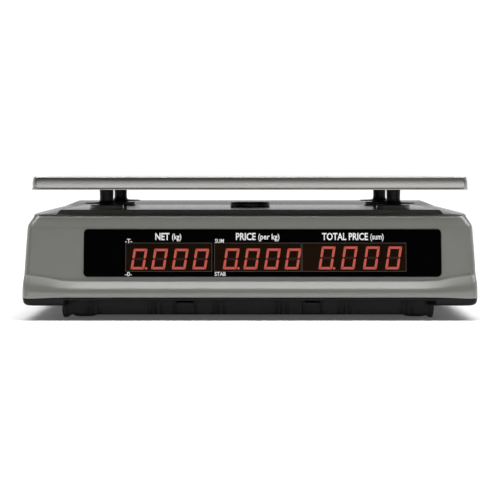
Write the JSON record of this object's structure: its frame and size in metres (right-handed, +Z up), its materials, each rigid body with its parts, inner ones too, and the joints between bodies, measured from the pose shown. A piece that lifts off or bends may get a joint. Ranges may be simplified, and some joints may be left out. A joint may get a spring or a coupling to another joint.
{
  "type": "price-computing counter scale",
  "caption": "Low counter-top retail scale with a stainless platter on four posts, a customer display window, an operator keypad console and levelling feet.",
  "frame": {"origin": "centre of the casing's footprint at the level of the counter", "axes": "+Z up; the customer's display faces -Y and the operator's console faces +Y; +X is to the right as the customer sees it"},
  "size_m": [0.3382, 0.36, 0.1063],
  "materials": {
    "casing": "fine-grained warm grey moulded ABS",
    "base": "black moulded ABS",
    "stainless": "satin stainless sheet",
    "bare_steel": "zinc plated steel",
    "cast_frame": "dark painted steel",
    "post_plastic": "black moulded plastic",
    "rubber": "matte black rubber",
    "aluminium": "milled aluminium",
    "window": "glossy black acrylic",
    "board": "green solder mask",
    "digits": "dark LED display modules with red segments",
    "transformer_core": "varnished laminations",
    "battery_case": "dark battery case",
    "rocker": "dark red rocker",
    "vial": "clear vial with yellow-green liquid",
    "keycap": "light grey keycaps"
  },
  "bodies": {
    "housing": {"upper_housing": "casing", "lower_base": "base", "load_cell": "aluminium", "cell_base_spacer": "cast_frame", "cell_base_bolts": "bare_steel", "overload_stops": "bare_steel", "centre_plug": "post_plastic", "customer_window": "window", "customer_board": "board", "customer_digits": "digits", "operator_window": "window", "operator_board": "board", "operator_digits": "digits", "main_board": "board", "transformer": "transformer_core", "battery": "battery_case", "battery_cover": "base", "mains_inlet": "post_plastic", "switch_body": "post_plastic", "level_body": "post_plastic", "level_vial": "vial", "dome_mat": "rubber", "keypad_board": "board", "housing_screws": "bare_steel"},
    "platform": {"platform_spider": "cast_frame", "post_near_left": "post_plastic", "post_far_left": "post_plastic", "post_near_right": "post_plastic", "post_far_right": "post_plastic", "post_screws": "bare_steel", "platter_pads": "rubber", "cell_top_spacer": "cast_frame", "cell_top_bolts": "bare_steel"},
    "platter": {"platter": "stainless", "platter_stiffeners": "bare_steel"},
    "rocker": {"switch_rocker": "rocker"},
    "key_7": {"key_7": "keycap"},
    "key_8": {"key_8": "keycap"},
    "key_9": {"key_9": "keycap"},
    "key_m1": {"key_m1": "keycap"},
    "key_m2": {"key_m2": "keycap"},
    "key_m3": {"key_m3": "keycap"},
    "key_clear": {"key_clear": "keycap"},
    "key_4": {"key_4": "keycap"},
    "key_5": {"key_5": "keycap"},
    "key_6": {"key_6": "keycap"},
    "key_m4": {"key_m4": "keycap"},
    "key_m5": {"key_m5": "keycap"},
    "key_m6": {"key_m6": "keycap"},
    "key_zero": {"key_zero": "keycap"},
    "key_1": {"key_1": "keycap"},
    "key_2": {"key_2": "keycap"},
    "key_3": {"key_3": "keycap"},
    "key_0": {"key_0": "keycap"},
    "key_point": {"key_point": "keycap"},
    "key_tare": {"key_tare": "keycap"},
    "foot_near_left": {"foot_near_left": "rubber"},
    "foot_near_right": {"foot_near_right": "rubber"},
    "foot_far_left": {"foot_far_left": "rubber"},
    "foot_far_right": {"foot_far_right": "rubber"}
  },
  "joints": [
    {"name": "platform_travel", "type": "slide", "parent": "housing", "child": "platform", "axis": [0, 0, -1], "range_m": [0, 0.0005], "stiffness_N_per_m": 60000, "springref_m": -0.0005, "deforming": ["load_cell"]},
    {"name": "platter_lift", "type": "slide", "parent": "platform", "child": "platter", "axis": [0, 0, 1], "range_m": [0, 0.15]},
    {"name": "power_rocker", "type": "hinge", "parent": "housing", "child": "rocker", "pos_m": [0.16518, 0.088, 0.05188], "axis": [0, -1, 0], "range_deg": [0, 14]},
    {"name": "key_7_press", "type": "slide", "parent": "housing", "child": "key_7", "axis": [0, -0.4695, -0.8829], "range_m": [0, 0.0015], "stiffness_N_per_m": 500, "springref_m": -0.0005},
    {"name": "key_8_press", "type": "slide", "parent": "housing", "child": "key_8", "axis": [0, -0.4695, -0.8829], "range_m": [0, 0.0015], "stiffness_N_per_m": 500, "springref_m": -0.0005},
    {"name": "key_9_press", "type": "slide", "parent": "housing", "child": "key_9", "axis": [0, -0.4695, -0.8829], "range_m": [0, 0.0015], "stiffness_N_per_m": 500, "springref_m": -0.0005},
    {"name": "key_m1_press", "type": "slide", "parent": "housing", "child": "key_m1", "axis": [0, -0.4695, -0.8829], "range_m": [0, 0.0015], "stiffness_N_per_m": 500, "springref_m": -0.0005},
    {"name": "key_m2_press", "type": "slide", "parent": "housing", "child": "key_m2", "axis": [0, -0.4695, -0.8829], "range_m": [0, 0.0015], "stiffness_N_per_m": 500, "springref_m": -0.0005},
    {"name": "key_m3_press", "type": "slide", "parent": "housing", "child": "key_m3", "axis": [0, -0.4695, -0.8829], "range_m": [0, 0.0015], "stiffness_N_per_m": 500, "springref_m": -0.0005},
    {"name": "key_clear_press", "type": "slide", "parent": "housing", "child": "key_clear", "axis": [0, -0.4695, -0.8829], "range_m": [0, 0.0015], "stiffness_N_per_m": 500, "springref_m": -0.0005},
    {"name": "key_4_press", "type": "slide", "parent": "housing", "child": "key_4", "axis": [0, -0.4695, -0.8829], "range_m": [0, 0.0015], "stiffness_N_per_m": 500, "springref_m": -0.0005},
    {"name": "key_5_press", "type": "slide", "parent": "housing", "child": "key_5", "axis": [0, -0.4695, -0.8829], "range_m": [0, 0.0015], "stiffness_N_per_m": 500, "springref_m": -0.0005},
    {"name": "key_6_press", "type": "slide", "parent": "housing", "child": "key_6", "axis": [0, -0.4695, -0.8829], "range_m": [0, 0.0015], "stiffness_N_per_m": 500, "springref_m": -0.0005},
    {"name": "key_m4_press", "type": "slide", "parent": "housing", "child": "key_m4", "axis": [0, -0.4695, -0.8829], "range_m": [0, 0.0015], "stiffness_N_per_m": 500, "springref_m": -0.0005},
    {"name": "key_m5_press", "type": "slide", "parent": "housing", "child": "key_m5", "axis": [0, -0.4695, -0.8829], "range_m": [0, 0.0015], "stiffness_N_per_m": 500, "springref_m": -0.0005},
    {"name": "key_m6_press", "type": "slide", "parent": "housing", "child": "key_m6", "axis": [0, -0.4695, -0.8829], "range_m": [0, 0.0015], "stiffness_N_per_m": 500, "springref_m": -0.0005},
    {"name": "key_zero_press", "type": "slide", "parent": "housing", "child": "key_zero", "axis": [0, -0.4695, -0.8829], "range_m": [0, 0.0015], "stiffness_N_per_m": 500, "springref_m": -0.0005},
    {"name": "key_1_press", "type": "slide", "parent": "housing", "child": "key_1", "axis": [0, -0.4695, -0.8829], "range_m": [0, 0.0015], "stiffness_N_per_m": 500, "springref_m": -0.0005},
    {"name": "key_2_press", "type": "slide", "parent": "housing", "child": "key_2", "axis": [0, -0.4695, -0.8829], "range_m": [0, 0.0015], "stiffness_N_per_m": 500, "springref_m": -0.0005},
    {"name": "key_3_press", "type": "slide", "parent": "housing", "child": "key_3", "axis": [0, -0.4695, -0.8829], "range_m": [0, 0.0015], "stiffness_N_per_m": 500, "springref_m": -0.0005},
    {"name": "key_0_press", "type": "slide", "parent": "housing", "child": "key_0", "axis": [0, -0.4695, -0.8829], "range_m": [0, 0.0015], "stiffness_N_per_m": 500, "springref_m": -0.0005},
    {"name": "key_point_press", "type": "slide", "parent": "housing", "child": "key_point", "axis": [0, -0.4695, -0.8829], "range_m": [0, 0.0015], "stiffness_N_per_m": 500, "springref_m": -0.0005},
    {"name": "key_tare_press", "type": "slide", "parent": "housing", "child": "key_tare", "axis": [0, -0.4695, -0.8829], "range_m": [0, 0.0015], "stiffness_N_per_m": 500, "springref_m": -0.0005},
    {"name": "foot_near_left_screw", "type": "slide", "parent": "housing", "child": "foot_near_left", "axis": [0, 0, -1], "range_m": [0, 0.006]},
    {"name": "foot_near_right_screw", "type": "slide", "parent": "housing", "child": "foot_near_right", "axis": [0, 0, -1], "range_m": [0, 0.006]},
    {"name": "foot_far_left_screw", "type": "slide", "parent": "housing", "child": "foot_far_left", "axis": [0, 0, -1], "range_m": [0, 0.006]},
    {"name": "foot_far_right_screw", "type": "slide", "parent": "housing", "child": "foot_far_right", "axis": [0, 0, -1], "range_m": [0, 0.006]}
  ]
}
